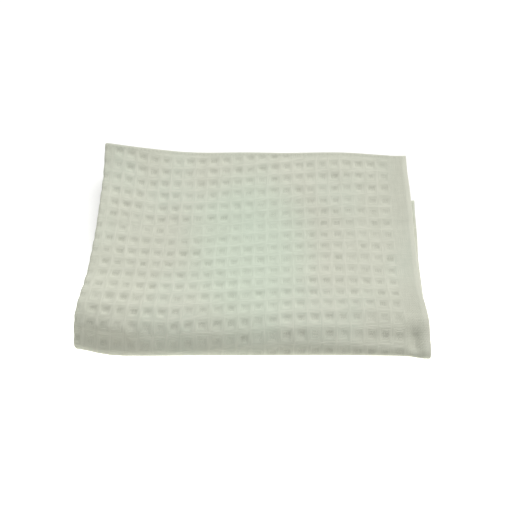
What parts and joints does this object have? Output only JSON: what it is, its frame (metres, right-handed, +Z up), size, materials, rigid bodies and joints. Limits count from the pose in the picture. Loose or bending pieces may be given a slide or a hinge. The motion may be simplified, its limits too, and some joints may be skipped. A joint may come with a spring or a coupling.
{
  "type": "floor cloth",
  "caption": "Folded waffle-weave cotton floor cloth: doubled across its width, then folded along its length into a soft flat pad that lies on a table.",
  "frame": {"origin": "middle of the pad's footprint, on the surface that it lies on", "axes": "+X from the crease side to the selvedge side, +Y from the big front fold to the back, +Z up"},
  "size_m": [0.2571, 0.1881, 0.0314],
  "materials": {
    "cotton": "matte undyed waffle-weave cotton"
  },
  "bodies": {
    "root": {"cloth": "cotton"}
  },
  "joints": []
}
